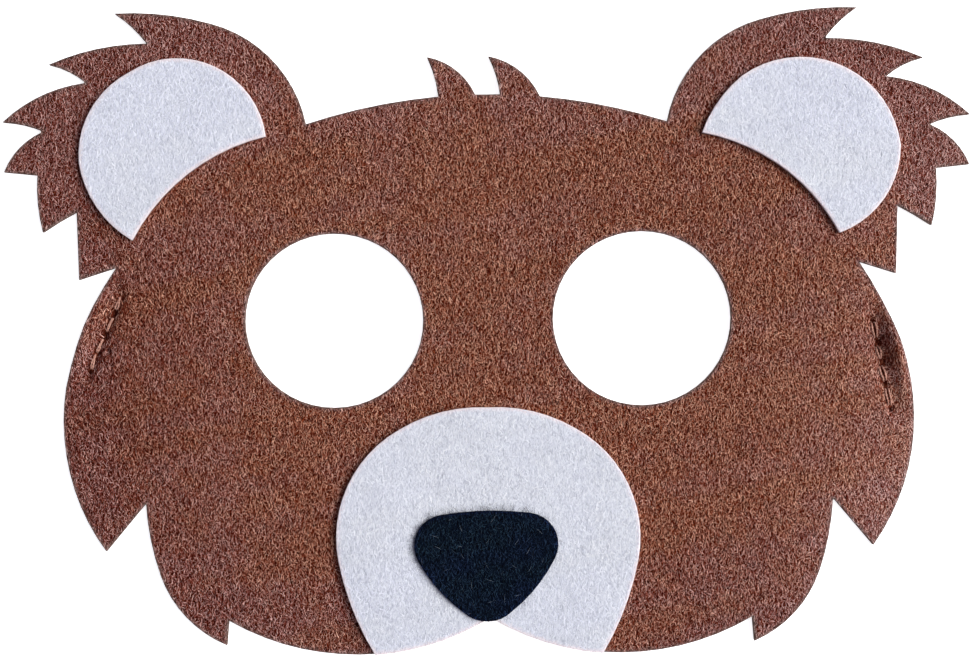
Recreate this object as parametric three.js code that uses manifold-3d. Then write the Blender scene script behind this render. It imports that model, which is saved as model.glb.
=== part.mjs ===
// Bear mask of needle felt, lying on its back with the face up.
// Millimetres. +X is the viewer's right, +Y the top of the head, +Z out of the face.
// The origin is under the middle of the mask, on the surface that it lies on.
// A die-cut face sheet carries two ear patches and a muzzle patch, and the muzzle carries the nose.

import * as THREE from 'three';
import { mergeVertices } from 'three/addons/utils/BufferGeometryUtils.js';
import loadManifold from 'manifold-3d';

// Driving dimensions

const FACE_THICKNESS = 2.0;
const PATCH_THICKNESS = 1.5;
const NOSE_THICKNESS = 1.0;
const GLUE_LINE = 0.1;
const FACET_TOLERANCE = 0.04; // how far a straight facet may leave its arc

const EYE = { offsetX: 31.84, y: 2.58, halfWidth: 18.42, halfHeight: 18.02 };

// Every edge table below walks clockwise, seen from the front.
// x, y: the point that the edge reaches. bulge: how far its arc stands out of the chord, + outwards.

// Right half of the face, from the ear's root over the ear and down the cheek to under the nose
const FACE_HALF_EDGE = [
  { at: 'ear root', x: 37.38, y: 43.25, bulge: 0 },
  { at: 'ear crown', x: 56.77, y: 64.19, bulge: 4.11 },
  { at: 'ear tuft 1 tip', x: 76.79, y: 66.48, bulge: 0.83 },
  { at: 'ear tuft 1 notch', x: 70.14, y: 60.2, bulge: -0.37 },
  { at: 'ear tuft 2 tip', x: 90.41, y: 56.02, bulge: 1.09 },
  { at: 'ear tuft 2 notch', x: 82.83, y: 52.2, bulge: -0.5 },
  { at: 'ear tuft 3 tip', x: 100.0, y: 44.18, bulge: 1.55 },
  { at: 'ear tuft 3 notch', x: 91.71, y: 42.18, bulge: -0.39 },
  { at: 'ear tuft 4 tip', x: 99.81, y: 33.85, bulge: 1.16 },
  { at: 'ear tuft 4 notch', x: 92.91, y: 33.15, bulge: 0 },
  { at: 'ear tuft 5 tip', x: 91.88, y: 21.35, bulge: 0.48 },
  { at: 'ear tuft 5 notch', x: 84.87, y: 25.54, bulge: -0.11 },
  { at: 'ear tuft 6 tip', x: 84.48, y: 11.45, bulge: 0 },
  { at: 'ear tuft 6 notch', x: 76.81, y: 13.91, bulge: 0 },
  { at: 'widest of the cheek', x: 87.33, y: -10.73, bulge: 1.35 },
  { at: 'cheek tuft tip', x: 79.29, y: -44.74, bulge: 3.51 },
  { at: 'cheek tuft notch', x: 71.05, y: -34.88, bulge: 0 },
  { at: 'jaw', x: 68.13, y: -49.8, bulge: 0.53 },
  { at: 'chin tuft tip', x: 54.54, y: -64.33, bulge: 2.13 },
  { at: 'chin tuft notch', x: 54.14, y: -59.23, bulge: 0 },
  { at: 'notch under the nose', x: 0, y: -58.92, bulge: 7.44 },
];

// The forehead is one arc between the ears' roots, with two tufts that lean to the left.
// baseLeft, baseRight: where a tuft leaves the arc. hollow, belly: bulges of its left and right edges.
const FOREHEAD_BULGE = 5.91;
const FOREHEAD_TUFTS = [
  { baseLeft: -9.94, tipX: -12.17, tipY: 56.93, baseRight: -2.25, hollow: -0.35, belly: 1.55 },
  { baseLeft: 2.85, tipX: 0.52, tipY: 57.0, baseRight: 11.16, hollow: -0.36, belly: 1.64 },
];

// The ear patches were cut by hand, so each has its own outline, given for a right ear
const LEFT_EAR_PATCH_EDGE = [
  { at: 'inner corner', x: 45.56, y: 40.67, bulge: -3.8 },
  { at: 'top', x: 73.57, y: 54.07, bulge: 8.59 },
  { at: 'outside', x: 84.01, y: 35.51, bulge: 3.21 },
  { at: 'lower corner', x: 73.23, y: 19.48, bulge: 2.16 },
];
const RIGHT_EAR_PATCH_EDGE = [
  { at: 'inner corner', x: 44.48, y: 40.77, bulge: -3.99 },
  { at: 'shoulder', x: 52.77, y: 52.35, bulge: 0.98 },
  { at: 'outside', x: 85.34, y: 37.85, bulge: 10.09 },
  { at: 'lower corner', x: 72.64, y: 19.83, bulge: 3.5 },
];

// Right half of the muzzle about its own middle line. Its lower edge follows the face's edge.
const MUZZLE_X = -0.34;
const MUZZLE_HALF_EDGE = [
  { at: 'top', x: 0, y: -15.57, bulge: 0 },
  { at: 'shoulder', x: 18.28, y: -20.07, bulge: 1.4 },
  { at: 'flank', x: 30.89, y: -47.14, bulge: 4.82 },
  { at: 'lower corner', x: 23.48, y: -66.36, bulge: 0.9 },
];

// The nose is a round-cornered triangle about its own middle, glued on a little askew
const NOSE_PLACE = { x: -0.67, y: -48.44, turnDegrees: 1 };
const NOSE_EDGE = [
  { at: 'top right', x: 9.3, y: 11, bulge: 0.66 },
  { at: 'right flank', x: 14.1, y: 1.55, bulge: 2.76 },
  { at: 'bottom right', x: 4.94, y: -9.24, bulge: 0.76 },
  { at: 'bottom left', x: -4.94, y: -9.24, bulge: 1.95 },
  { at: 'left flank', x: -14.1, y: 1.55, bulge: 0.76 },
  { at: 'top left', x: -9.3, y: 11, bulge: 2.76 },
];

// The two seams pull the face in along these lines
const SEAM_VALLEY = { width: 4.4, depth: 0.8, overrun: 1.5 };
const SEAMS = [
  { side: 'left', topX: -76.05, topY: 8.06, lowX: -82.77, lowY: -8.0 },
  { side: 'right', topX: 79.55, topY: 1.57, lowX: 83.1, lowY: -15.8 },
];

// Felt colours

const BROWN_FELT = 0x794e43;
const WHITE_FELT = 0xd5d7e4;
const BLACK_FELT = 0x101827;
const FELT_ROUGHNESS = 0.95;

const manifold = await loadManifold();
manifold.setup();

// Circle of the arc from one point to the next. Clockwise travel keeps the outside on the left.
function circleOfArc(from, to, bulge) {
  const chord = Math.hypot(to.x - from.x, to.y - from.y);
  const outX = -(to.y - from.y) / chord;
  const outY = (to.x - from.x) / chord;
  const signedRadius = (chord * chord / 4 + bulge * bulge) / (2 * bulge);
  return {
    x: (from.x + to.x) / 2 + outX * (bulge - signedRadius),
    y: (from.y + to.y) / 2 + outY * (bulge - signedRadius),
    radius: Math.abs(signedRadius),
  };
}

// Bulge of an arc of a known radius between two points
function bulgeOnCircle(radius, from, to) {
  const halfChord = Math.hypot(to.x - from.x, to.y - from.y) / 2;
  return radius - Math.sqrt(radius * radius - halfChord * halfChord);
}

// Largest turn of one facet that stays within the tolerance of a circle
function facetTurn(radius) {
  return 2 * Math.acos(1 - FACET_TOLERANCE / radius);
}

// Points of one edge, from just after its start to its end
function edgePoints(from, to, bulge) {
  if (bulge === 0) {
    return [new THREE.Vector2(to.x, to.y)];
  }
  const circle = circleOfArc(from, to, bulge);
  const clockwise = bulge > 0;
  const startAngle = Math.atan2(from.y - circle.y, from.x - circle.x);
  const endAngle = Math.atan2(to.y - circle.y, to.x - circle.x);
  const turn = THREE.MathUtils.euclideanModulo((endAngle - startAngle) * (clockwise ? -1 : 1), 2 * Math.PI);
  const facets = Math.ceil(turn / facetTurn(circle.radius));
  const arc = new THREE.EllipseCurve(
    circle.x, circle.y, circle.radius, circle.radius, startAngle, endAngle, clockwise,
  );
  return arc.getPoints(facets).slice(1);
}

// Closed outline through the rows of an edge table
function outline(rows) {
  const points = rows.flatMap((row, i) => edgePoints(rows.at(i - 1), row, row.bulge));
  return new THREE.Shape(points);
}

// The other half of a half edge, walked on the same way round: its rows in reverse, mirrored
function mirroredHalf(rows) {
  const back = rows.slice(0, -1).map((row, i) => ({ x: -row.x, y: row.y, bulge: rows[i + 1].bulge }));
  return back.reverse();
}

// A closed edge mirrored in the middle line of the mask
function mirroredLoop(rows) {
  const back = rows.map((row, i) => ({ x: -row.x, y: row.y, bulge: rows[(i + 1) % rows.length].bulge }));
  return back.reverse();
}

// Forehead from the left ear's root to the right one, with its tufts
function foreheadEdge() {
  const right = FACE_HALF_EDGE[0];
  const left = { x: -right.x, y: right.y };
  const circle = circleOfArc(left, right, FOREHEAD_BULGE);
  const onForehead = (x) => ({ x, y: circle.y + Math.sqrt(circle.radius ** 2 - (x - circle.x) ** 2) });
  const rows = [];
  let from = left;
  for (const tuft of FOREHEAD_TUFTS) {
    const base = onForehead(tuft.baseLeft);
    rows.push({ ...base, bulge: bulgeOnCircle(circle.radius, from, base) });
    rows.push({ x: tuft.tipX, y: tuft.tipY, bulge: tuft.hollow });
    from = onForehead(tuft.baseRight);
    rows.push({ ...from, bulge: tuft.belly });
  }
  rows.push({ x: right.x, y: right.y, bulge: bulgeOnCircle(circle.radius, from, right) });
  return rows;
}

function faceOutline() {
  const rightSide = FACE_HALF_EDGE.slice(1);
  const face = outline([...rightSide, ...mirroredHalf(FACE_HALF_EDGE), ...foreheadEdge()]);
  for (const side of [-1, 1]) {
    const facets = Math.ceil(2 * Math.PI / facetTurn(EYE.halfWidth));
    const rim = new THREE.EllipseCurve(side * EYE.offsetX, EYE.y, EYE.halfWidth, EYE.halfHeight);
    face.holes.push(new THREE.Path(rim.getPoints(facets).slice(1)));
  }
  return face;
}

// The muzzle's lower corners lie on the chin's arcs, which meet at the notch under the nose
function muzzleOutline() {
  const [chinEnd, notch] = FACE_HALF_EDGE.slice(-2);
  const chin = circleOfArc(chinEnd, notch, notch.bulge);
  const onChin = (x) => ({ x, y: chin.y - Math.sqrt(chin.radius ** 2 - (Math.abs(x) - chin.x) ** 2) });
  const lowerX = MUZZLE_HALF_EDGE.at(-1).x;
  const right = onChin(MUZZLE_X + lowerX);
  const left = onChin(MUZZLE_X - lowerX);
  const shifted = (rows) => rows.map((row) => ({ ...row, x: row.x + MUZZLE_X }));
  const rightSide = shifted(MUZZLE_HALF_EDGE.slice(1, -1));
  const leftSide = shifted(mirroredHalf(MUZZLE_HALF_EDGE));
  return outline([
    ...rightSide,
    { ...right, bulge: MUZZLE_HALF_EDGE.at(-1).bulge },
    { x: notch.x, y: notch.y, bulge: bulgeOnCircle(chin.radius, right, notch) },
    { ...left, bulge: bulgeOnCircle(chin.radius, notch, left) },
    ...leftSide,
  ]);
}

function sheet(shape, thickness) {
  return new THREE.ExtrudeGeometry(shape, { depth: thickness, bevelEnabled: false });
}

function toSolid(geometry) {
  const bare = geometry.clone();
  bare.deleteAttribute('normal');
  bare.deleteAttribute('uv');
  const merged = mergeVertices(bare);
  return new manifold.Manifold(new manifold.Mesh({
    numProp: 3,
    vertProperties: merged.attributes.position.array,
    triVerts: new Uint32Array(merged.index.array),
  }));
}

function fromSolid(solid) {
  const mesh = solid.getMesh();
  const geometry = new THREE.BufferGeometry();
  geometry.setAttribute('position', new THREE.BufferAttribute(mesh.vertProperties, 3));
  geometry.setIndex(new THREE.BufferAttribute(mesh.triVerts, 1));
  geometry.computeVertexNormals();
  return geometry;
}

// Long ellipsoid that dents the face's front along one seam
function seamValley(seam) {
  const length = Math.hypot(seam.topX - seam.lowX, seam.topY - seam.lowY) + 2 * SEAM_VALLEY.overrun;
  const valley = new THREE.SphereGeometry(1, 20, 12);
  valley.scale(length / 2, SEAM_VALLEY.width / 2, SEAM_VALLEY.depth);
  valley.rotateZ(Math.atan2(seam.topY - seam.lowY, seam.topX - seam.lowX));
  valley.translate((seam.topX + seam.lowX) / 2, (seam.topY + seam.lowY) / 2, FACE_THICKNESS);
  return valley;
}

function faceGeometry() {
  let face = toSolid(sheet(faceOutline(), FACE_THICKNESS));
  for (const seam of SEAMS) {
    face = face.subtract(toSolid(seamValley(seam)));
  }
  return fromSolid(face);
}

function feltPiece(name, geometry, colour) {
  const felt = new THREE.MeshStandardMaterial({ color: colour, roughness: FELT_ROUGHNESS, metalness: 0 });
  const piece = new THREE.Mesh(geometry, felt);
  piece.name = name;
  return piece;
}

const mask = new THREE.Group();
mask.name = 'bear_mask';
mask.add(feltPiece('face', faceGeometry(), BROWN_FELT));

const onFace = new THREE.Group();
onFace.position.z = FACE_THICKNESS + GLUE_LINE;
mask.add(onFace);

const patchOutlines = {
  ear_patch_left: outline(mirroredLoop(LEFT_EAR_PATCH_EDGE)),
  ear_patch_right: outline(RIGHT_EAR_PATCH_EDGE),
  muzzle: muzzleOutline(),
};
for (const [name, shape] of Object.entries(patchOutlines)) {
  onFace.add(feltPiece(name, sheet(shape, PATCH_THICKNESS), WHITE_FELT));
}

const nose = feltPiece('nose', sheet(outline(NOSE_EDGE), NOSE_THICKNESS), BLACK_FELT);
nose.position.set(NOSE_PLACE.x, NOSE_PLACE.y, PATCH_THICKNESS + GLUE_LINE);
nose.rotation.z = THREE.MathUtils.degToRad(NOSE_PLACE.turnDegrees);
onFace.add(nose);

export default mask;
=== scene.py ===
import math

import bpy
import numpy as np
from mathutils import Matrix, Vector
from mathutils.geometry import delaunay_2d_cdt


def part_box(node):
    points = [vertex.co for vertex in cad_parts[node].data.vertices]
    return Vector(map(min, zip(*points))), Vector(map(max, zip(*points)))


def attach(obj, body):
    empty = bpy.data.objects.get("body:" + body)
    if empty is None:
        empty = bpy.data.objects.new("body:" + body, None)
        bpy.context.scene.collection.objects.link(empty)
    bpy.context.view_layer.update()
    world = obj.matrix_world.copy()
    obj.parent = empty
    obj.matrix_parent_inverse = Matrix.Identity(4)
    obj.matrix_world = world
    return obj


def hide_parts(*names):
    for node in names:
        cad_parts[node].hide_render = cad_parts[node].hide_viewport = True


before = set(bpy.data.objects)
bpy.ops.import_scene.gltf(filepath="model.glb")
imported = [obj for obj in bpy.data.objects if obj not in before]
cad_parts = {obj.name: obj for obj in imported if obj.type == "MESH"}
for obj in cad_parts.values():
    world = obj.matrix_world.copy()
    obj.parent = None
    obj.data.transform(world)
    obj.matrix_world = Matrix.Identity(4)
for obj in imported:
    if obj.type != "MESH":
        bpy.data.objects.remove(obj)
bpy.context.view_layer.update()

# Face sheet
# One sheet of brown needle-punched polyester felt, die-cut with the ears, the fur tufts and the two
# eye holes. It lies on its back, and everything else is glued or sewn on it. The blade leaves the
# edge clean and slightly rounded. Two short seams pull the front in and make its margin swell.

MM = 0.001
GRID = 0.9  # spacing of the points inside a sheet
FINE_GRID = 0.24  # spacing round the seams
RIM_STEP = 0.45  # longest stretch of a sheet's cut edge
RIM_ROWS = (0.07, 0.22)  # distances of the rows of points beside the cut edge
RIM_SLACK = 0.95  # share of its distance that a point beside the edge keeps from the other stretches
RIM_CLEAR = 0.3  # from the last of those rows to the grid
RIM_FADE = 0.45  # reach of the paler strip along a cut edge
BACK_ROUND = 0.15  # radius of the cut edge's back, and then of its front
FRONT_ROUND = {"face": 0.15, "ear_patch_left": 0.05, "ear_patch_right": 0.05, "muzzle": 0.05, "nose": 0.7}
THINNEST = 0.12  # what is left of the sheet's thickness in a stitch hole
WAVE_LENGTHS = np.geomspace(7, 40, 8)
WAVE_STEEPNESS = 0.0014  # height of a wave for each millimetre of its length

# Stitches are rows of start x, start y, end x and end y, and holes are rows of x, y and size.
SEAMS = {
    "left": {
        "top": (-76.05, 8.06), "low": (-82.77, -8.0), "outward": -1, "swell": 1.2, "fullest": 0.45,
        "apart": 0.3, "arch": 0.12,
        "stitches": ((-76.01, 8.07, -77.06, 5.08), (-77.53, 3.74, -78.96, 0.55),
                     (-79.68, -0.69, -81.17, -3.67), (-81.27, -3.77, -82.17, -7.28)),
        "holes": ((-77.24, 4.44, 0.52), (-79.3, -0.07, 0.58), (-80.76, -4.09, 0.3), (-82.65, -7.89, 0.45),
                  (-78.69, -3.28, 0.55)),
    },
    "right": {
        "top": (79.55, 1.57), "low": (83.1, -15.8), "outward": 1, "swell": 2.3, "fullest": 0.35,
        "apart": 0.7, "arch": 0.45,
        "stitches": ((79.64, 1.57, 80.43, -2.05), (80.5, -3.6, 81.31, -6.4),
                     (81.13, -7.53, 82.2, -11.06), (82.44, -12.09, 83.08, -16.13)),
        "holes": ((79.41, 1.68, 0.5), (81.0, -2.92, 0.98), (82.1, -6.92, 0.9), (81.98, -11.67, 0.65),
                  (83.32, -16.85, 0.45)),
    },
}
SEAM_SINK = 1.0  # how deep the thread pulls the front in
SEAM_INNER_SLOPE = 1.1  # reach of the pull towards the face
SEAM_FLOOR = 0.35  # from the seam to the foot of the margin's slope
SEAM_OUTER_SLOPE = 3.4  # from that foot to the crest of the margin
SEAM_END_FADE = 1.8
SWELL_SPREAD = 0.38  # share of the seam's length over which the margin swells
SEAM_STRIP = 3.0  # how far round a seam the finer grid goes
HOLE_SINK = 1.2  # extra dent where the thread goes through


def seam_lines():
    """Each seam's start, direction, direction towards the mask's edge, length and settings."""
    lines = []
    for seam in SEAMS.values():
        top, low = np.array(seam["top"]), np.array(seam["low"])
        length = np.linalg.norm(low - top)
        down = (low - top) / length
        out = np.array((-down[1], down[0]))
        out = out * np.sign(out[0] * seam["outward"])
        lines.append((top, down, out, length, seam))
    return lines


def seam_relief(places):
    """Height that the seams add to the front and to the back.

    Across a seam, the front sinks as a bell curve on the face's side, and rises as half a cosine wave
    from the seam to the margin's crest, past which the margin comes down again as it rose. The sink
    fades past the seam's ends, and the swell is fullest part way down. Each hole adds a small bell.
    """
    front, back = np.zeros(len(places)), np.zeros(len(places))
    for top, down, out, length, seam in seam_lines():
        along = (places - top) @ down
        across = (places - top) @ out
        past = np.maximum(0, np.maximum(-along, along - length))
        rise = np.clip((across - SEAM_FLOOR) / SEAM_OUTER_SLOPE, 0, 2)
        sunk = np.where(across > 0, (1 + np.cos(math.pi * np.minimum(rise, 1))) / 2,
                        np.exp(-((across / SEAM_INNER_SLOPE) ** 2)))
        fullness = np.exp(-(((along / length - seam["fullest"]) / SWELL_SPREAD) ** 2))
        swell = seam["swell"] * fullness * (1 - np.cos(math.pi * rise)) / 2
        front += swell - SEAM_SINK * sunk * np.exp(-((past / SEAM_END_FADE) ** 2))
        back += swell
        for x, y, size in seam["holes"]:
            front -= HOLE_SINK * np.exp(-((places - (x, y)) ** 2).sum(axis=1) / size**2)
    return front, back


def near_seam(places):
    """Whether a place is in the strip that a seam shapes."""
    near = np.zeros(len(places), bool)
    for top, down, out, length, _ in seam_lines():
        along = (places - top) @ down
        across = (places - top) @ out
        beside = (across > -SEAM_STRIP) & (across < SEAM_FLOOR + SEAM_OUTER_SLOPE)
        near |= beside & (along > -SEAM_STRIP) & (along < length + SEAM_STRIP)
    return near


def felt_waves(places, seed):
    """Gentle unevenness of felt: a sum of sine waves of random directions, 7 to 40 mm long."""
    draw = np.random.default_rng(seed)
    total = np.zeros(len(places))
    for length in WAVE_LENGTHS:
        turn, phase = draw.uniform(0, 2 * math.pi, 2)
        ahead = places @ (math.cos(turn), math.sin(turn))
        total += WAVE_STEEPNESS * length * np.sin(2 * math.pi * ahead / length + phase)
    return total


def cut_edges(node):
    """Stretches of a piece's cut edge as start and end points, in millimetres.

    They are the edges that only one triangle of the node's flat underside has.
    """
    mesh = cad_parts[node].data
    place = np.empty(3 * len(mesh.vertices))
    mesh.vertices.foreach_get("co", place)
    place = place.reshape(-1, 3) / MM
    corner = np.empty(len(mesh.loops), int)
    mesh.loops.foreach_get("vertex_index", corner)
    triangle = place[corner].reshape(-1, 3, 3)
    flat = 0.01
    under = triangle[(triangle[:, :, 2] < place[:, 2].min() + flat).all(axis=1), :, :2]
    stretch = np.stack([under, np.roll(under, -1, axis=1)], axis=2).reshape(-1, 2, 2)
    _, end = np.unique(stretch.reshape(-1, 2).round(3), axis=0, return_inverse=True)
    pair = np.sort(end.reshape(-1, 2), axis=1)
    _, first, uses = np.unique(pair, axis=0, return_index=True, return_counts=True)
    return stretch[first[uses == 1]]


def cut_area(cut):
    """Area inside a cut edge: half the sum of the cross products of each stretch's ends."""
    start, end = cut[:, 0], cut[:, 1]
    return abs((start[:, 0] * end[:, 1] - start[:, 1] * end[:, 0]).sum()) / 2


def divided(stretches, longest):
    """The same stretches in even parts that are no longer than longest."""
    start = stretches[:, 0]
    run = stretches[:, 1] - start
    parts = np.ceil(np.linalg.norm(run, axis=1) / longest).astype(int)
    owner = np.repeat(np.arange(len(parts)), parts)
    step = np.arange(len(owner)) - np.repeat(np.cumsum(parts) - parts, parts)
    share = np.stack([step, step + 1], axis=1) / parts[owner, None]
    return start[owner, None] + run[owner, None] * share[:, :, None]


def inside_cut(places, cut):
    """Whether a ray along +X from each place crosses the cut edge an odd number of times."""
    odd = np.zeros(len(places), bool)
    x, y = places.T
    for (start_x, start_y), (end_x, end_y) in cut[cut[:, 0, 1] != cut[:, 1, 1]]:
        passes = (start_y > y) != (end_y > y)
        crossing = start_x + (y - start_y) * (end_x - start_x) / (end_y - start_y)
        odd ^= passes & (x < crossing)
    return odd


def distance_to_cut(places, cut):
    """Distance of each place to the cut edge: dropped square on each stretch, or to its nearer end."""
    nearest = np.full(len(places), np.inf)
    for start, end in cut:
        run = end - start
        share = np.clip((places - start) @ run / (run @ run), 0, 1)
        apart = places - start - share[:, None] * run
        nearest = np.minimum(nearest, apart[:, 0] ** 2 + apart[:, 1] ** 2)
    return np.sqrt(nearest)


def quarter_round(depth, radius):
    """How far a face drops at a depth inside its edge: a quarter circle that ends level."""
    short = radius - np.minimum(depth, radius)
    return radius - np.sqrt(radius**2 - short**2)


def square_grid(low, high, spacing):
    """Points of a square grid over a box."""
    columns = np.arange(low[0] + spacing / 3, high[0], spacing)
    rows = np.arange(low[1] + spacing / 3, high[1], spacing)
    return np.stack(np.meshgrid(columns, rows), axis=-1).reshape(-1, 2)


def sheet_plan(cut, fine):
    """Points and triangles that fill a cut edge, its rim as pairs of points, and each point's depth.

    The points are the edge's own, rows beside it, and a square grid, finer where fine(places) says.
    """
    low, high = cut.reshape(-1, 2).min(axis=0), cut.reshape(-1, 2).max(axis=0)
    rim = divided(cut, RIM_STEP)
    rim_points, rim_pairs = np.unique(rim.reshape(-1, 2).round(4), axis=0, return_inverse=True)
    run = rim[:, 1] - rim[:, 0]
    square = np.stack([-run[:, 1], run[:, 0]], axis=1) / np.linalg.norm(run, axis=1)[:, None]
    inset = np.repeat(RIM_ROWS, 2 * len(rim))
    side = np.tile(np.repeat((-1, 1), len(rim)), len(RIM_ROWS))
    middle = np.tile(rim.mean(axis=1), (2 * len(RIM_ROWS), 1))
    beside = middle + np.tile(square, (2 * len(RIM_ROWS), 1)) * (side * inset)[:, None]
    beside = beside[inside_cut(beside, cut) & (distance_to_cut(beside, cut) > RIM_SLACK * inset)]
    coarse_grid, fine_grid = square_grid(low, high, GRID), square_grid(low, high, FINE_GRID)
    grid = np.concatenate([coarse_grid[~fine(coarse_grid)], fine_grid[fine(fine_grid)]])
    grid = grid[inside_cut(grid, cut)]
    grid = grid[distance_to_cut(grid, cut) > RIM_ROWS[-1] + RIM_CLEAR]
    points = np.concatenate([rim_points, beside, grid])
    filled = delaunay_2d_cdt(list(map(Vector, points)), rim_pairs.reshape(-1, 2).tolist(), [], 0, 1e-5)
    plan = np.array([tuple(point) for point in filled[0]])
    face = np.array(filled[2])
    face = face[inside_cut(plan[face].mean(axis=1), cut)]
    side = np.stack([face, np.roll(face, -1, axis=1)], axis=2).reshape(-1, 2)
    edge = side[~np.isin(side @ (len(plan), 1), side @ (1, len(plan)))]
    return plan, face, edge, distance_to_cut(plan, cut)


def add_piece(name, places, faces, material):
    """A new piece of the mask from points in millimetres and faces."""
    mesh = bpy.data.meshes.new(name)
    mesh.from_pydata((places * MM).tolist(), [], faces)
    mesh.shade_smooth()
    mesh.materials.append(material)
    piece = bpy.data.objects.new(name, mesh)
    bpy.context.scene.collection.objects.link(piece)
    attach(piece, "root")
    return piece


def felt_sheet(node, relief, fine, material):
    """A closed sheet of felt in the place of a CAD node.

    Its front and back are level plus what relief(places) gives for each, and meet the cut edge in
    quarter circles. Two attributes say how much of the rim's and of the back's tone a point has.
    """
    plan, face, edge, depth = sheet_plan(cut_edges(node), fine)
    low, high = (corner.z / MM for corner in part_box(node))
    raised_front, raised_back = relief(plan)
    back = low + raised_back + quarter_round(depth, BACK_ROUND)
    front = high + raised_front - quarter_round(depth, FRONT_ROUND[node])
    front = np.maximum(front, back + THINNEST)
    places = np.concatenate([np.c_[plan, front], np.c_[plan, back]])
    count = len(plan)
    wall = np.c_[edge[:, 1], edge[:, 0], edge[:, 0] + count, edge[:, 1] + count]
    faces = face.tolist() + (face[:, ::-1] + count).tolist() + wall.tolist()
    sheet = add_piece("felt_" + node, places, faces, material)
    rim = np.exp(-((depth / RIM_FADE) ** 2))
    for part, share in {"rim": np.tile(rim, 2), "back": np.repeat((0.0, 1.0), count)}.items():
        sheet.data.attributes.new(part, "FLOAT", "POINT").data.foreach_set("value", share)
    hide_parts(node)
    return sheet


def linear(colour):
    """An sRGB hex colour as linear red, green, blue and alpha."""
    parts = np.array([int(colour[i : i + 2], 16) for i in (1, 3, 5)]) / 255
    return (*np.where(parts <= 0.04045, parts / 12.92, ((parts + 0.055) / 1.055) ** 2.4), 1)


def add(tree, kind, settings=None, **inputs):
    """A node with its settings, and its inputs given as values or as other nodes' outputs."""
    node = tree.nodes.new("ShaderNode" + kind)
    for name, value in (settings or {}).items():
        setattr(node, name, value)
    for name, value in inputs.items():
        socket = node.inputs[int(name[1:])] if name[1:].isdigit() else node.inputs[name.replace("_", " ")]
        if isinstance(value, bpy.types.NodeSocket):
            tree.links.new(value, socket)
        else:
            socket.default_value = value
    return node


def new_material(name):
    """An empty node material and its tree."""
    material = bpy.data.materials.new(name)
    material.use_nodes = True
    material.node_tree.nodes.clear()
    return material, material.node_tree


def set_ramp(ramp, stops):
    """Puts the colours of stops, {place: sRGB hex}, on a colour ramp."""
    elements = ramp.color_ramp.elements
    while len(elements) < len(stops):
        elements.new(0.5)
    for element, (place, colour) in zip(elements, stops.items()):
        element.position = place
        element.color = linear(colour)


STRAND_WIDTH = 0.13  # single fibres are 0.03 mm wide; what shows is strands of several, drawn this wide
STRAND_LENGTH = 0.5
STRAND_TURNS = (20, -28, 80)
BEND_SIZE = 1.6  # how far apart the bends of the strands are, and how far they go aside
BEND_REACH = 1.2


def needle_felt(name, tones, rim_tones, back_tones, relief_mm, translucency):
    """Needle-punched polyester felt: a mat of crossed fibres with small dark gaps, dull all over.

    Strands are ridges of a noise stretched along three directions, mostly up and down the sheet, and
    bent by a coarser noise. The highest strand at each place sets the colour and the bump, and the gaps
    between strands take the ramp's dark end, which is painted shade. The blade presses the fibres at a
    cut edge together, which makes them paler. Where the front's tones are darker than the back's, that
    is painted shade under its loose fibres; the back has none over it here, and so has the mean tone of
    the front with them. Light seeps about a millimetre through pale felt, which softens shadows on it.
    """
    material, tree = new_material(name)
    place = add(tree, "TexCoord").outputs["Object"]
    bend = add(tree, "TexNoise", Vector=place, Scale=1 / (BEND_SIZE * MM), Detail=1.0)
    bent = add(tree, "VectorMath", {"operation": "MULTIPLY_ADD"}, _0=bend.outputs["Color"],
               _1=(BEND_REACH * MM,) * 3, _2=place)
    across, lengthwise = 1 / (2 * STRAND_WIDTH * MM), 1 / (2 * STRAND_LENGTH * MM)
    strands = []
    for turn in STRAND_TURNS:
        laid = add(tree, "Mapping", Vector=bent.outputs[0], Rotation=(0, 0, math.radians(turn)),
                   Scale=(across, lengthwise, across))
        noise = add(tree, "TexNoise", Vector=laid.outputs[0], Scale=1.0, Detail=1.0, Roughness=0.6)
        strands.append(noise.outputs["Fac"])
    pair = add(tree, "Math", {"operation": "MAXIMUM"}, _0=strands[0], _1=strands[1])
    mat = add(tree, "Math", {"operation": "MAXIMUM"}, _0=pair.outputs[0], _1=strands[2])
    colour = add(tree, "ValToRGB", Fac=mat.outputs[0])
    set_ramp(colour, tones)
    for part, part_tones in (("back", back_tones), ("rim", rim_tones)):
        share = add(tree, "Attribute", {"attribute_name": part})
        part_colour = add(tree, "ValToRGB", Fac=mat.outputs[0])
        set_ramp(part_colour, part_tones)
        colour = add(tree, "MixRGB", Fac=share.outputs["Fac"], Color1=colour.outputs[0],
                     Color2=part_colour.outputs[0])
    bump = add(tree, "Bump", Height=mat.outputs[0], Distance=relief_mm * MM, Strength=1.0)
    shader = add(tree, "BsdfPrincipled", Base_Color=colour.outputs[0], Normal=bump.outputs[0],
                 Roughness=0.9, IOR=1.5, Specular_IOR_Level=0.04, Subsurface_Weight=translucency,
                 Subsurface_Radius=(1.0, 1.0, 1.0), Subsurface_Scale=1.0 * MM)
    add(tree, "OutputMaterial", Surface=shader.outputs[0])
    return material


def face_relief(places):
    """The seams' relief, plus the felt's waves on the front."""
    front, back = seam_relief(places)
    return front + felt_waves(places, seed=3), back


brown_felt = needle_felt(
    "brown_needle_felt",
    # The front's tones, far darker than the back's, are painted shade: the shaded gaps under the loose
    # fibres.
    tones={0.45: "#220702", 0.58: "#471509", 0.75: "#8a4c38"},
    rim_tones={0.45: "#3b2620", 0.58: "#645048", 0.75: "#9c857b"},
    back_tones={0.45: "#5a2a1c", 0.58: "#7e4c3c", 0.75: "#ab7c68"},
    relief_mm=0.2,
    translucency=0,
)
face = felt_sheet("face", face_relief, near_seam, brown_felt)

# Fuzz of the face
# Needle punching leaves loops and ends of the sheet's own fibres on its surface, lying every way but
# mostly along the sheet's making. A loop is a thin bent ribbon here, with both its ends in the sheet,
# and a free end is a sliver that tapers from its root in the sheet.

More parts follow.
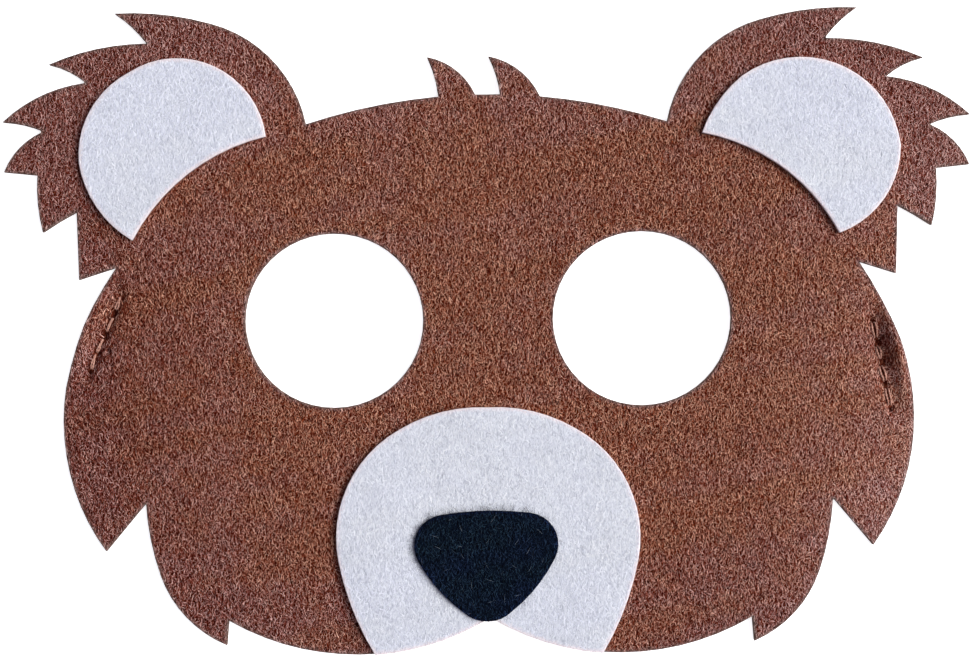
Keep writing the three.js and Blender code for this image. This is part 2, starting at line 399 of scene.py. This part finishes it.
LOOP_SUNK = 0.06  # how deep the two ends of a loop lie in the sheet
END_SUNK = 0.03  # the same of a free end's root
UPRIGHT_SPREAD = math.radians(30)
LENGTH_SPREAD = (0.5, 1.5)  # shares of the stated length, width and lift
WIDTH_SPREAD = (0.75, 1.25)
LIFT_SPREAD = (0.1, 1.0)
BOW_SPREAD = 0.6
SHORTENED = 0.35  # what is left of a fibre's length where it would cross the cut edge
PAIR_TONE = 0.9  # how much paler or darker than the middle a pair's two fibres are, and their spread
TONE_SPREAD = 0.42
HUE_SPREAD = 0.1
CHART_RANGE = (0.02, 0.98)
CHART_SPOT = 0.003 * np.array(((-1, -1), (1, -1), (1, 1), (-1, 1)))  # corners of a fibre's spot there
BARE_DEPTH = 1.5  # the walls of a stitch hole are bare below this
THREAD_PRESS = 0.5  # how far beside a stitch its thread presses the fuzz down
DYE_LENGTHS = np.geomspace(6, 40, 9)  # sizes of the dye's patches
DYE_COOL = {"everywhere": 0.1, "patches": 0.38, "outline": 0.95, "chin": 0.3, "brow": 0.45, "left": 0.0015}
# Shifts of the fibres' tone: darker to the left, paler to the right, darker at the chin, and paler on the
# margin beyond the left seam, which is a painted highlight on the lit slope of its swell.
PALENESS_WITH_HIGHLIGHT = {"left": 0.11, "left_ear": -0.05, "right": 0.12, "right_low": 0.0022, "chin": -0.03,
            "margin": 0.15}
OUTLINE = 93  # distances of the outline and of the seams from the middle, about
HALF_WIDTH = 80
CHIN = (-35, -55)  # heights at which the chin, the brow and the ears begin and are fully reached
BROW = (36, 50)
EAR = (10, 35)


def tone_fibre(name, warm, cool, rim, shine):
    """Polyester fibre, dyed in the mass: dull, each fibre of one tone and one hue.

    The fibre's spot on a colour chart says them: dark to light across, and upwards from warm to cool in
    the lower half and on to the tone of a cut edge in the upper half.
    """
    material, tree = new_material(name)
    chart = add(tree, "UVMap", {"uv_map": "OFBake"})
    spot = add(tree, "SeparateXYZ", Vector=chart.outputs[0])
    tones = []
    for stops in (warm, cool, rim):
        tones.append(add(tree, "ValToRGB", Fac=spot.outputs["X"]))
        set_ramp(tones[-1], stops)
    colour = tones[0]
    for tone, start in zip(tones[1:], (0.0, -1.0)):
        share = add(tree, "Math", {"operation": "MULTIPLY_ADD", "use_clamp": True}, _0=spot.outputs["Y"],
                    _1=2.0, _2=start)
        colour = add(tree, "MixRGB", Fac=share.outputs[0], Color1=colour.outputs[0], Color2=tone.outputs[0])
    shader = add(tree, "BsdfPrincipled", Base_Color=colour.outputs[0], Roughness=0.65, IOR=1.5,
                 Specular_IOR_Level=shine)
    add(tree, "OutputMaterial", Surface=shader.outputs[0])
    return material


def ramp(values, start, end):
    """From 0 at start to 1 at end in a straight line, and level beyond them."""
    return np.clip((values - start) / (end - start), 0, 1)


def dye_patches(places):
    """Hue of the uneven dye, from 0 for warm to 1 for cool.

    A sum of sine waves of random directions is squashed to its range, and the fifth power of the
    distance from the middle, the chin, the brow and the way to the left are added to it.
    """
    draw = np.random.default_rng(7)
    total = np.zeros(len(places))
    for length in DYE_LENGTHS:
        turn, phase = draw.uniform(0, 2 * math.pi, 2)
        total += np.sin(2 * math.pi * places @ (math.cos(turn), math.sin(turn)) / length + phase)
    x, y = places.T
    dye = DYE_COOL["everywhere"] + DYE_COOL["patches"] * np.tanh(total / 3) - DYE_COOL["left"] * x
    dye += DYE_COOL["outline"] * (np.linalg.norm(places, axis=1) / OUTLINE) ** 5
    dye += DYE_COOL["chin"] * ramp(y, *CHIN) + DYE_COOL["brow"] * ramp(y, *BROW)
    return np.clip(dye, 0, 1)


def paleness_with_painted_highlight(places):
    """How much paler the fibres are at a place than in the middle.

    It falls with the third power of the way to the left, less so in the ear, and rises with the fifth
    power of the way to the right, less so higher up. The chin is darker. The margin beyond the left
    seam is paler, a painted highlight on the lit slope of its swell.
    """
    x, y = places.T
    along = np.clip(x / HALF_WIDTH, -1, 1.2)
    left = (PALENESS_WITH_HIGHLIGHT["left"] + PALENESS_WITH_HIGHLIGHT["left_ear"] * ramp(y, *EAR)) * along**3
    right = (PALENESS_WITH_HIGHLIGHT["right"] - PALENESS_WITH_HIGHLIGHT["right_low"] * y) * along**5
    top, down, out, length, seam = seam_lines()[0]
    share = (places - top) @ down / length
    # Painted highlight: the margin beyond the left seam is made paler where its swell faces the key light.
    margin = ramp((places - top) @ out, 0, 2) * np.exp(-(((share - seam["fullest"]) / 0.6) ** 4))
    side = np.where(along > 0, right, left)
    return side + PALENESS_WITH_HIGHLIGHT["chin"] * ramp(y, *CHIN) + PALENESS_WITH_HIGHLIGHT["margin"] * margin


def put_on_chart(piece, spots, faces, corners):
    """Lays all the faces of each fibre, of so many corners, on the fibre's spot of the colour chart."""
    shape = (len(spots), faces, corners, 2)
    chart = np.broadcast_to(spots[:, None, None] + CHART_SPOT[:corners], shape)
    piece.data.uv_layers.new(name="OFBake").uv.foreach_set("vector", chart.ravel())


def add_fuzz(name, node, relief, fuzz, material, seed):
    """About fuzz's count of loose fibres over the front of a sheet, joined in one piece.

    Fibres are spread on a jittered grid, and of two side by side one is paler. With t from -1/2 to
    1/2, a fibre of length L runs L t ahead. A loop bends L bow t^2 sideways and rises by
    lift (1 - 4 t^2) from two sunk ends. A free end is straight, rises by lift (1/2 + t) from its sunk
    root and tapers to a point. Size is the length and width, upright the share that lies near the
    sheet's length, roll how far a fibre turns about itself, and tone the middle and spread of its place
    on the colour chart, and its share of the paleness across the face, which holds a painted highlight
    on the left seam's margin. A fibre that would cross the cut edge is shortened, or else left out.
    """
    size, lift, tone, looped = fuzz["size"], fuzz["lift"], fuzz["tone"], fuzz["looped"]
    draw = np.random.default_rng(seed)
    cut = cut_edges(node)
    spacing = math.sqrt(cut_area(cut) / fuzz["count"])
    root = square_grid(cut.reshape(-1, 2).min(axis=0), cut.reshape(-1, 2).max(axis=0), spacing)
    pair = ((root - root[0]) / spacing).round() // (2, 1)
    order = np.lexsort((draw.random(len(root)), pair[:, 0], pair[:, 1]))
    pale = np.empty(len(root))
    pale[order] = np.resize((1, -1), len(root))
    root = root + draw.uniform(-spacing / 2, spacing / 2, root.shape)
    stitches = np.concatenate([seam["stitches"] for seam in SEAMS.values()]).reshape(-1, 2, 2)
    grown = inside_cut(root, cut) & (relief(root)[0] > -BARE_DEPTH)
    grown &= distance_to_cut(root, stitches) > THREAD_PRESS
    root, pale = root[grown], pale[grown]
    depth = distance_to_cut(root, cut)
    fibres = len(root)
    upright = draw.normal(math.pi / 2, UPRIGHT_SPREAD, fibres)
    turn = np.where(draw.random(fibres) < fuzz["upright"], upright, draw.uniform(0, math.pi, fibres))
    ahead = np.c_[np.cos(turn), np.sin(turn)][:, None]
    aside = np.c_[-np.sin(turn), np.cos(turn)][:, None]
    bow = draw.normal(0, BOW_SPREAD, (fibres, 1))
    long = size[0] * draw.uniform(*LENGTH_SPREAD, fibres)
    half = size[1] / 2 * draw.uniform(*WIDTH_SPREAD, fibres)
    t = np.linspace(-0.5, 0.5, 3 if looped else 2)

    def laid(long):
        """Plan of each fibre's middle line."""
        sideways = bow * (t**2 - 1 / 6) * looped
        return root[:, None] + long[:, None, None] * (t[:, None] * ahead + sideways[..., None] * aside)

    def crosses(plan):
        """Whether a side of each fibre goes past the cut edge."""
        beside = half[:, None, None] * aside
        reach = np.concatenate([plan - beside, plan + beside], axis=1)
        by_edge = np.flatnonzero(depth < size[0])
        out = np.zeros(fibres, bool)
        out[by_edge] = ~inside_cut(reach[by_edge].reshape(-1, 2), cut).reshape(len(by_edge), -1).all(axis=1)
        return out

    for _ in range(2):
        long = np.where(crosses(laid(long)), SHORTENED * long, long)
    plan = laid(long)
    kept = ~crosses(plan)
    root, plan, pale, depth = root[kept], plan[kept], pale[kept], depth[kept]
    fibres = len(plan)
    run = np.gradient(plan, axis=1)
    run = run / np.linalg.norm(run, axis=2, keepdims=True)
    square = np.stack([-run[..., 1], run[..., 0]], axis=2)[:, :, None]
    half = half[kept, None, None] * np.array((-1, 1))
    roll = draw.normal(0, fuzz["roll"], fibres)[:, None, None]
    sides = plan[:, :, None] + square * (half * np.cos(roll))[..., None]
    back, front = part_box(node)[0].z / MM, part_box(node)[1].z / MM
    level = front + relief(sides.reshape(-1, 2))[0].reshape(fibres, len(t), 2)
    level = np.maximum(level, back + THINNEST) - quarter_round(depth, FRONT_ROUND[node])[:, None, None]
    sunk = LOOP_SUNK if looped else END_SUNK
    arch = sunk + lift * draw.uniform(*LIFT_SPREAD, fibres)
    rise = arch[:, None] * (1 - 4 * t**2 if looped else 0.5 + t) - sunk
    height = level + rise[..., None] + half * np.sin(roll)
    places = np.concatenate([sides, height[..., None]], axis=3)
    if looped:
        corner = np.arange(fibres * len(t) * 2).reshape(fibres, len(t), 2)
        face = np.stack([corner[:, :-1, 0], corner[:, 1:, 0], corner[:, 1:, 1], corner[:, :-1, 1]], axis=2)
    else:
        places = np.stack([places[:, 0, 0], places[:, 1].mean(axis=1), places[:, 0, 1]], axis=1)
        face = np.arange(fibres * 3).reshape(fibres, 1, 3)
    corners = face.shape[2]
    piece = add_piece(name, places.reshape(-1, 3), face.reshape(-1, corners).tolist(), material)
    # tone[2] brings in the paleness across the face, which holds a painted highlight on the left seam's
    # margin.
    shade = tone[0] + tone[1] * draw.normal(PAIR_TONE * pale, TONE_SPREAD) + tone[2] * paleness_with_painted_highlight(root)
    rim = np.exp(-((depth / RIM_FADE) ** 2))
    hue = np.clip(dye_patches(root) + draw.normal(0, HUE_SPREAD, fibres), 0, 1)
    spots = np.clip(np.c_[shade, 0.5 * (hue + (2 - hue) * rim)], *CHART_RANGE)
    put_on_chart(piece, spots, len(t) - 1, corners)
    return piece


FACE_FUZZ = {"upright": 0.7, "roll": math.radians(35)}
FACE_LAYERS = {
    "deep": {"count": 196000, "size": (0.75, 0.18), "lift": 0.1, "tone": (0.385, 0.345, 1), "looped": False},
    "middle": {"count": 46000, "size": (0.9, 0.1), "lift": 0.16, "tone": (0.45, 0.27, 1), "looped": True},
    "loose": {"count": 160000, "size": (0.9, 0.14), "lift": 0.26, "tone": (0.48, 0.405, 1), "looped": False},
}
brown_fibre = tone_fibre(
    "brown_polyester_fibre",
    warm={0.0: "#240201", 0.25: "#681e08", 0.5: "#994c2b", 1.0: "#f6be9e"},
    cool={0.0: "#240201", 0.25: "#682116", 0.5: "#98564d", 1.0: "#f4c8be"},
    rim={0.0: "#2c1610", 0.25: "#60392f", 0.5: "#8c6c62", 1.0: "#d3c0b8"},
    shine=0.03,
)
face_fuzz = [
    add_fuzz("fuzz_face_" + layer, "face", face_relief, FACE_FUZZ | fuzz, brown_fibre, seed)
    for seed, (layer, fuzz) in enumerate(FACE_LAYERS.items(), start=31)
]

# Seam threads
# Each seam is four running stitches of doubled polyester sewing thread, two plies to a thread, sunk
# in the felt. Every stitch comes up through one hole and goes down through the next.

PLY_RADIUS = 0.105
PLY_TURN = 1.3  # length of one turn of the twist
APART_SPREAD = (0.6, 1.2)  # shares of the stated distance of a stitch's two threads
THREAD_CLOSE = 0.65  # share of that distance that they keep at their ends
THREAD_WANDER = 0.07
THREAD_DIVE = 1.1  # how far the ends go down into their holes
DIVE_SHARE = 0.07  # share of a stitch's length over which they do
THREAD_STEPS = 40
PLY_SIDES = 7


def add_stitches(side, material):
    """One seam's threads: round plies carried along arched lines, twisted about each other.

    With t from 0 to 1 along a stitch, a thread's line lies on the felt plus arch sin(pi t), and dives
    into the hole at each end as a bell curve. Each ply's middle turns about that line as a helix.
    """
    draw = np.random.default_rng(len(side))
    t = np.linspace(0, 1, THREAD_STEPS)
    bottom, top = (corner.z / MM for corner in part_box("face"))
    lines, turns = [], []
    for start_x, start_y, end_x, end_y in SEAMS[side]["stitches"]:
        start, run = np.array((start_x, start_y)), np.array((end_x - start_x, end_y - start_y))
        square = np.array((-run[1], run[0])) / np.linalg.norm(run)
        apart = SEAMS[side]["apart"] * draw.uniform(*APART_SPREAD)
        for shift in (-apart / 2, apart / 2):
            waves = np.stack([np.sin(math.pi * t), np.sin(2 * math.pi * t)])
            across = shift * (THREAD_CLOSE + (1 - THREAD_CLOSE) * waves[0])
            across += draw.normal(0, THREAD_WANDER, 2) @ waves
            plan = start + np.outer(t, run) + np.outer(across, square)
            felt = np.maximum(top + face_relief(plan)[0], bottom + THINNEST)
            dive = np.exp(-((t / DIVE_SHARE) ** 2)) + np.exp(-(((1 - t) / DIVE_SHARE) ** 2))
            arch = SEAMS[side]["arch"] * waves[0]
            height = felt + PLY_RADIUS + arch - THREAD_DIVE * dive
            lines.append(np.c_[plan, np.maximum(height, 2 * PLY_RADIUS)])
            turns.append(2 * math.pi * t * np.linalg.norm(run) / PLY_TURN)
    line = np.stack(lines)[:, None]
    run = np.gradient(line, axis=2)
    run = run / np.linalg.norm(run, axis=3, keepdims=True)
    aside = np.cross(run, (0, 0, 1))
    aside = aside / np.linalg.norm(aside, axis=3, keepdims=True)
    upward = np.cross(aside, run)
    phase = draw.uniform(0, 2 * math.pi, (len(lines), 1, 1)) + math.pi * np.arange(2)[:, None]
    turn = phase + np.stack(turns)[:, None]
    ply = line + 0.9 * PLY_RADIUS * (np.cos(turn)[..., None] * aside + np.sin(turn)[..., None] * upward)
    angle = 2 * math.pi * np.arange(PLY_SIDES) / PLY_SIDES
    ring = np.cos(angle)[:, None] * aside[..., None, :] + np.sin(angle)[:, None] * upward[..., None, :]
    places = ply[..., None, :] + PLY_RADIUS * ring
    corner = np.arange(places.size // 3).reshape(-1, THREAD_STEPS, PLY_SIDES)
    turned = np.roll(corner, -1, axis=2)
    quad = np.stack([corner[:, :-1], corner[:, 1:], turned[:, 1:], turned[:, :-1]], axis=3)
    caps = corner[:, 0].tolist() + corner[:, -1, ::-1].tolist()
    return add_piece("seam_thread_" + side, places.reshape(-1, 3), quad.reshape(-1, 4).tolist() + caps,
                     material)


def sewing_thread(name, tones):
    """Spun polyester sewing thread: a soft sheen, with fine darker and lighter fibres along it."""
    material, tree = new_material(name)
    place = add(tree, "TexCoord").outputs["Object"]
    fibre = add(tree, "TexNoise", Vector=place, Scale=1 / (0.25 * MM), Detail=2.0)
    colour = add(tree, "ValToRGB", Fac=fibre.outputs["Fac"])
    set_ramp(colour, tones)
    shader = add(tree, "BsdfPrincipled", Base_Color=colour.outputs[0], Roughness=0.5, IOR=1.5,
                 Specular_IOR_Level=0.4, Sheen_Weight=0.2, Sheen_Roughness=0.4)
    add(tree, "OutputMaterial", Surface=shader.outputs[0])
    return material


tan_thread = sewing_thread("tan_sewing_thread", {0.35: "#985f4c", 0.65: "#e2b09a"})
threads = [add_stitches(side, tan_thread) for side in SEAMS]
cut_area(cut_edges("face")) * MM**2

# White and black patches
# Thinner felt of the same make, cut out and glued flat: two inner ears and the muzzle on the face,
# and the nose on the muzzle. Their fuzz lies flatter, and the black felt holds some pale lint.

white_felt = needle_felt(
    "white_needle_felt",
    tones={0.45: "#b8bbc6", 0.58: "#d8dbe2", 0.75: "#e8ebf0"},
    rim_tones={0.45: "#d6c9cc", 0.58: "#e8dada", 0.75: "#f4eaea"},
    back_tones={0.45: "#b8bbc6", 0.58: "#d8dbe2", 0.75: "#e8ebf0"},
    relief_mm=0.1,
    translucency=0.6,
)
black_felt = needle_felt(
    "black_needle_felt",
    # The front's tones, darker than the back's, are painted shade under the loose fibres.
    tones={0.45: "#010207", 0.58: "#040a18", 0.75: "#0d1a2d"},
    rim_tones={0.45: "#03060f", 0.58: "#0a1224", 0.75: "#16243a"},
    back_tones={0.45: "#03060f", 0.58: "#0a1224", 0.75: "#16243a"},
    relief_mm=0.15,
    translucency=0,
)
white_fibre = tone_fibre(
    "white_polyester_fibre",
    warm={0.0: "#bfc1c9", 0.5: "#dbdee3", 1.0: "#f3f4f5"},
    cool={0.0: "#bec1ce", 0.5: "#dadde9", 1.0: "#f1f3fa"},
    rim={0.0: "#d2c1c5", 0.5: "#e9dddf", 1.0: "#fbf3f3"},
    shine=0.15,
)
black_fibre = tone_fibre(
    "black_polyester_fibre",
    warm={0.0: "#010204", 0.5: "#08121a", 1.0: "#2a3f4e"},
    cool={0.0: "#010208", 0.5: "#081026", 1.0: "#28365c"},
    rim={0.0: "#03050d", 0.5: "#0d152b", 1.0: "#2e3f60"},
    shine=0.03,
)
pale_lint = tone_fibre(
    "pale_lint",
    warm={0.0: "#1b2630", 0.5: "#44515f", 1.0: "#8f99a4"},
    cool={0.0: "#1b2438", 0.5: "#444f68", 1.0: "#8f97aa"},
    rim={0.0: "#1b2438", 0.5: "#444f68", 1.0: "#8f97aa"},
    shine=0.15,
)


def no_seam(places):
    """A patch has no seam, and so no finer grid."""
    return np.zeros(len(places), bool)


def bedded_on(bed, seed):
    """Relief of a patch that follows what it is glued on, with gentle waves of its own in front."""

    def relief(places):
        back = bed(places)[0]
        return back + felt_waves(places, seed), back

    return relief


def lay_patch(node, relief, felt, fuzz, fringe=()):
    """A patch of felt on the sheet under it.

    Its pieces of fuzz are {name: (settings, material)}, and fringe is what hangs over its edge.
    """
    patch = felt_sheet(node, relief, no_seam, felt)
    loose = [add_fuzz(name + node, node, relief, settings, fibre, len(name + node))
             for name, (settings, fibre) in fuzz.items()]
    loose.extend(fringe)
    cut_area(cut_edges(node)) * MM**2


white_fuzz = {"size": (1.9, 0.13), "lift": 0.07, "upright": 0.82, "roll": math.radians(20),
              "tone": (0.5, 0.26, 0), "looped": True}
black_fuzz = {"size": (0.9, 0.22), "lift": 0.1, "upright": 0.7, "roll": math.radians(30),
              "tone": (0.33, 0.46, 0), "looped": False}
lint = {"size": (2.2, 0.08), "lift": 0.15, "upright": 0.2, "roll": math.radians(30),
        "tone": (0.6, 0.3, 0), "looped": False}


FRINGE_WIDTH = 0.022
FRINGE_LENGTH = (0.5, 2.1)
FRINGE_INSET = 0.25  # how far inside the edge a fibre starts
FRINGE_TURN = 0.6
FRINGE_SIDE = (-0.85, 0.85)  # the side on which most of them are
FRINGE_ELSEWHERE = 0.2


def add_fringe(name, node, relief, under, count, material, seed):
    """Fibre ends that hang over a patch's cut edge, more of them at its top and left than elsewhere.

    Each is a straight ribbon that starts a little inside the edge at the height of the patch's rim, and
    comes down to the sheet under it over the length that it sticks out, up to 1.8 mm.
    """
    draw = np.random.default_rng(seed)
    cut = cut_edges(node)
    edge = divided(cut, 0.1)
    run = (edge[:, 1] - edge[:, 0]) / np.linalg.norm(edge[:, 1] - edge[:, 0], axis=1)[:, None]
    out = np.stack([run[:, 1], -run[:, 0]], axis=1)
    out *= np.where(inside_cut(edge.mean(axis=1) + 0.02 * out, cut), -1, 1)[:, None]
    share = FRINGE_ELSEWHERE + np.maximum(0, out @ FRINGE_SIDE)
    root = draw.choice(len(edge), count, p=share / share.sum())
    turn = np.arctan2(out[root, 1], out[root, 0]) + draw.normal(0, FRINGE_TURN, count)
    ahead = np.c_[np.cos(turn), np.sin(turn)]
    aside = np.c_[-np.sin(turn), np.cos(turn)] * FRINGE_WIDTH / 2
    start = edge[root].mean(axis=1) - FRINGE_INSET * out[root]
    end = start + ahead * draw.uniform(*FRINGE_LENGTH, (count, 1))
    plan = np.stack([start - aside, end - aside, end + aside, start + aside], axis=1)
    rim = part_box(node)[1].z / MM - FRONT_ROUND[node] + draw.uniform(0.2, 0.5, count)
    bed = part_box(under)[1].z / MM + draw.uniform(0.05, 0.3, count)
    height = np.stack([rim, bed, bed, rim], axis=1) + relief(plan.reshape(-1, 2))[1].reshape(-1, 4)
    places = np.concatenate([plan, height[..., None]], axis=2).reshape(-1, 3)
    piece = add_piece(name, places, np.arange(len(places)).reshape(-1, 4).tolist(), material)
    put_on_chart(piece, draw.uniform(0.2, 0.6, (count, 2)) * (1, 0.8), 1, 4)
    return piece


muzzle_relief = bedded_on(face_relief, seed=23)
# The left inner ear's fibres are set paler, 0.56 against 0.5: painted light, which brings that ear up to the
# right one's brightness under this light.
lay_patch("ear_patch_left", bedded_on(face_relief, seed=21), white_felt,
          {"fuzz_": (white_fuzz | {"count": 6000, "tone": (0.56, 0.26, 0)}, white_fibre)})
lay_patch("ear_patch_right", bedded_on(face_relief, seed=22), white_felt,
          {"fuzz_": (white_fuzz | {"count": 6000}, white_fibre)})
lay_patch("muzzle", muzzle_relief, white_felt,
          {"fuzz_": (white_fuzz | {"count": 18000}, white_fibre)})
nose_relief = bedded_on(muzzle_relief, seed=24)
fringe = add_fringe("fringe_nose", "nose", nose_relief, "muzzle", 380, black_fibre, seed=41)
lay_patch("nose", nose_relief, black_felt,
          {"fuzz_": (black_fuzz | {"count": 8000}, black_fibre), "lint_": (lint | {"count": 60}, pale_lint)},
          [fringe])

# Camera
# Straight above the mask, far enough that the layers hardly shift against each other.

PHOTO_WIDTH = 201.28  # what the frame's width covers at the front of the face
PHOTO_CENTRE = (-0.23, -0.02)
PHOTO_ROLL = math.radians(0.488)
CAMERA_HEIGHT = 450

camera_data = bpy.data.cameras.new("camera")
camera = bpy.data.objects.new("camera", camera_data)
bpy.context.scene.collection.objects.link(camera)
camera.location = (PHOTO_CENTRE[0] * MM, PHOTO_CENTRE[1] * MM, CAMERA_HEIGHT * MM)
camera.rotation_euler = (0, 0, -PHOTO_ROLL)
camera_data.sensor_width = 36
camera_data.lens = camera_data.sensor_width * (CAMERA_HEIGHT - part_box("face")[1].z / MM) / PHOTO_WIDTH
bpy.context.scene.camera = camera

# Light and floor
# One large soft box at the right, half way up, a weak even fill, and a white table top that glows, as
# a light table does, so that hardly any shadow shows on it.

KEY_TURN = math.radians(8)
KEY_RISE = math.radians(47)
KEY_DISTANCE = 3.0
KEY_SIZE = 2.6
KEY_POWER = 137
FILL = 0.25
TABLE_GLOW = 0.85
TABLE_REACH = 3.0

key_data = bpy.data.lights.new("key", "AREA")
key_data.shape = "DISK"
key_data.size = KEY_SIZE
key_data.energy = KEY_POWER
key = bpy.data.objects.new("key", key_data)
bpy.context.scene.collection.objects.link(key)
towards_key = Vector((math.cos(KEY_RISE) * math.cos(KEY_TURN),
                      math.cos(KEY_RISE) * math.sin(KEY_TURN), math.sin(KEY_RISE)))
key.location = towards_key * KEY_DISTANCE
key.rotation_euler = towards_key.to_track_quat("Z", "Y").to_euler()
key.visible_camera = False

world = bpy.data.worlds.new("fill")
world.use_nodes = True
world.node_tree.nodes["Background"].inputs["Color"].default_value = linear("#e6e3ff")
world.node_tree.nodes["Background"].inputs["Strength"].default_value = FILL
bpy.context.scene.world = world
bpy.context.scene.view_settings.view_transform = "Standard"

table_paint, table_tree = new_material("white_table_top")
table_shader = add(table_tree, "BsdfPrincipled", Base_Color=linear("#f4f4f4"), Roughness=0.7,
                   Emission_Color=linear("#ffffff"), Emission_Strength=TABLE_GLOW)
add(table_tree, "OutputMaterial", Surface=table_shader.outputs[0])
table_mesh = bpy.data.meshes.new("floor")
table_corners = [(-TABLE_REACH, -TABLE_REACH, 0), (TABLE_REACH, -TABLE_REACH, 0),
                 (TABLE_REACH, TABLE_REACH, 0), (-TABLE_REACH, TABLE_REACH, 0)]
table_mesh.from_pydata(table_corners, [], [(0, 1, 2, 3)])
table_mesh.materials.append(table_paint)
floor = bpy.data.objects.new("floor", table_mesh)
bpy.context.scene.collection.objects.link(floor)
